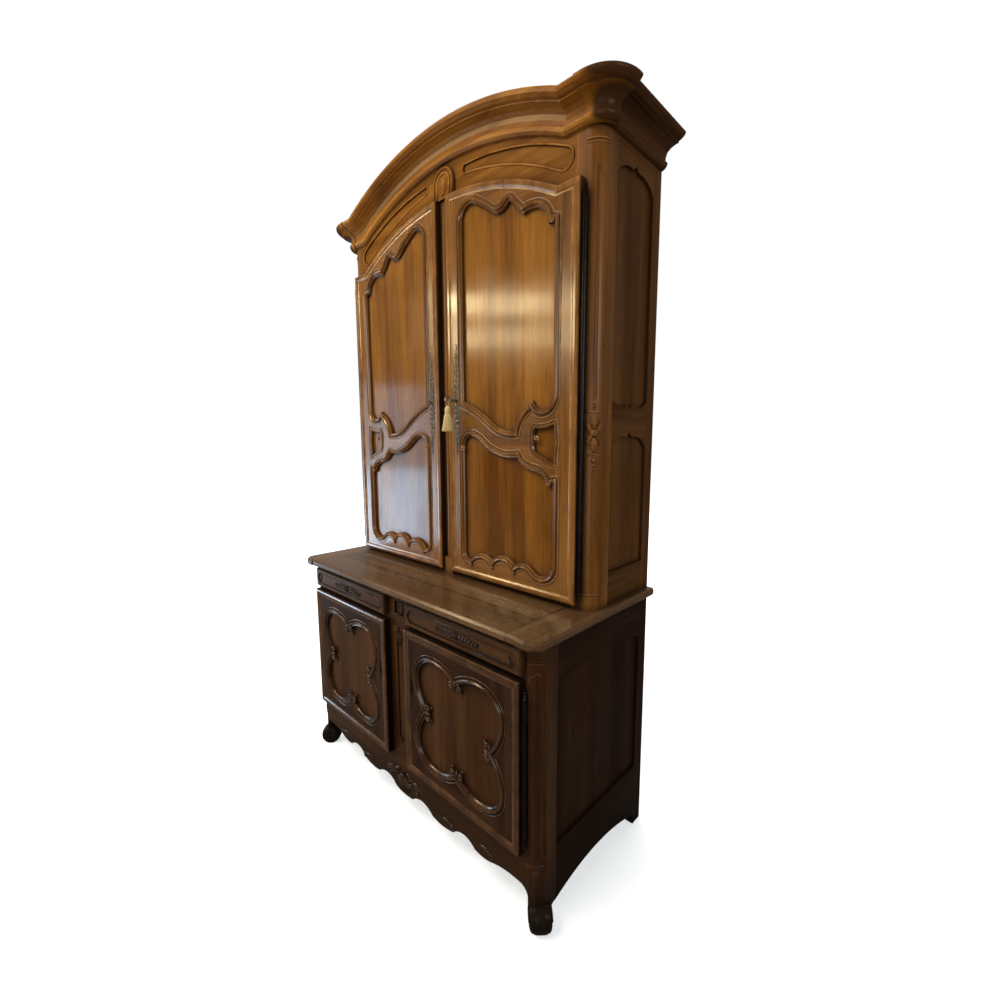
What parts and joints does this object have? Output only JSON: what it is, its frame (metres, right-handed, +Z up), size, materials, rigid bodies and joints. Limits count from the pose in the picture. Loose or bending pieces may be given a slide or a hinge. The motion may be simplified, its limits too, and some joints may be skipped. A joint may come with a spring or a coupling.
{
  "type": "two-piece armoire",
  "caption": "Tall two-piece walnut cupboard: low buffet with drawers, moulded doors and scroll feet, topped by an arched cupboard with shaped door panels and a swept cornice.",
  "frame": {"origin": "on the floor under the middle of the overall box", "axes": "+X to the right seen from the front, +Y to the back, +Z up"},
  "size_m": [1.5846, 0.715, 2.732],
  "materials": {
    "walnut": "waxed walnut, mid brown, worn on the edges",
    "walnut_panel": "waxed walnut, honey brown",
    "walnut_side": "waxed walnut, dark",
    "inner_wood": "bare planed softwood and oak, aged",
    "iron": "polished wrought steel, darkened",
    "tassel_thread": "straw yellow silk thread"
  },
  "bodies": {
    "lower_case": {"lower_front_post_left": "walnut", "lower_front_post_right": "walnut", "lower_back_posts": "inner_wood", "lower_centre_stile": "walnut", "drawer_muntin": "walnut", "lower_front_rails": "walnut", "apron": "walnut", "lower_side_rails": "walnut_side", "lower_side_panels": "walnut_side", "lower_back": "inner_wood", "lower_floor": "inner_wood", "lower_shelf": "inner_wood", "lower_bearers": "inner_wood", "buffet_top": "walnut", "locating_dowels": "inner_wood", "lower_hinge_posts": "iron"},
    "upper_case": {"upper_front_post_left": "walnut", "upper_front_post_right": "walnut", "upper_back_posts": "inner_wood", "centre_post": "walnut", "frieze": "walnut", "upper_bottom_rail": "walnut", "upper_side_rails": "walnut_side", "upper_side_panels": "walnut_side", "upper_back": "inner_wood", "upper_floor": "inner_wood", "upper_roof": "inner_wood", "upper_shelves": "inner_wood", "shelf_cleats": "inner_wood", "cornice_arch": "walnut", "cornice_returns": "walnut", "upper_hinge_posts": "iron"},
    "drawer_left": {"drawer_front_left": "walnut", "drawer_box_left": "inner_wood"},
    "lower_door_left": {"lower_door_frame_left": "walnut", "lower_door_mouldings_left": "walnut", "lower_door_panel_left": "walnut_panel", "lower_door_hinge_left": "iron", "lower_lock_left": "iron"},
    "upper_door_left": {"upper_door_frame_left": "walnut", "upper_door_mouldings_left": "walnut", "upper_door_panels_left": "walnut_panel", "upper_door_hinge_left": "iron", "upper_lock_left": "iron"},
    "upper_bolt_left": {"upper_bolt_left": "iron"},
    "drawer_right": {"drawer_front_right": "walnut", "drawer_box_right": "inner_wood"},
    "lower_door_right": {"lower_door_frame_right": "walnut", "lower_door_mouldings_right": "walnut", "lower_door_panel_right": "walnut_panel", "lower_door_hinge_right": "iron", "lower_lock_right": "iron"},
    "upper_door_right": {"upper_door_frame_right": "walnut", "upper_door_mouldings_right": "walnut", "upper_door_panels_right": "walnut_panel", "upper_door_hinge_right": "iron", "upper_lock_right": "iron"},
    "upper_bolt_right": {"upper_bolt_right": "iron"},
    "key": {"key": "iron"},
    "tassel": {"tassel": "tassel_thread"}
  },
  "joints": [
    {"name": "upper_case_lift", "type": "slide", "parent": "lower_case", "child": "upper_case", "axis": [0, 0, 1], "range_m": [0, 0.05]},
    {"name": "drawer_slide_left", "type": "slide", "parent": "lower_case", "child": "drawer_left", "axis": [0, -1, 0], "range_m": [0, 0.38]},
    {"name": "drawer_slide_right", "type": "slide", "parent": "lower_case", "child": "drawer_right", "axis": [0, -1, 0], "range_m": [0, 0.38]},
    {"name": "lower_door_swing_left", "type": "hinge", "parent": "lower_case", "child": "lower_door_left", "pos_m": [-0.668, -0.3135, 0.5535], "axis": [0, 0, -1], "range_deg": [0, 150]},
    {"name": "lower_door_swing_right", "type": "hinge", "parent": "lower_case", "child": "lower_door_right", "pos_m": [0.668, -0.3135, 0.5535], "axis": [0, 0, 1], "range_deg": [0, 150]},
    {"name": "upper_door_swing_left", "type": "hinge", "parent": "upper_case", "child": "upper_door_left", "pos_m": [-0.668, -0.0355, 1.68], "axis": [0, 0, -1], "range_deg": [0, 150]},
    {"name": "upper_door_swing_right", "type": "hinge", "parent": "upper_case", "child": "upper_door_right", "pos_m": [0.668, -0.0355, 1.68], "axis": [0, 0, 1], "range_deg": [0, 150]},
    {"name": "key_turn", "type": "hinge", "parent": "upper_door_right", "child": "key", "pos_m": [0.08, -0.0945, 1.715], "axis": [0, 1, 0], "range_deg": [0, 90]},
    {"name": "upper_bolt_throw_right", "type": "slide", "parent": "upper_door_right", "child": "upper_bolt_right", "axis": [-1, 0, 0], "range_m": [0, 0.014]},
    {"name": "upper_bolt_throw_left", "type": "slide", "parent": "upper_door_left", "child": "upper_bolt_left", "axis": [1, 0, 0], "range_m": [0, 0.014]},
    {"name": "tassel_hang", "type": "hinge", "parent": "key", "child": "tassel", "pos_m": [0.08, -0.0945, 1.702], "axis": [0, 1, 0], "range_deg": [-90, 0]}
  ],
  "couplings": [
    {"joint": "upper_bolt_throw_right", "follows": "key_turn", "m_per_rad": 0.0089127},
    {"joint": "tassel_hang", "follows": "key_turn", "ratio": -1}
  ]
}
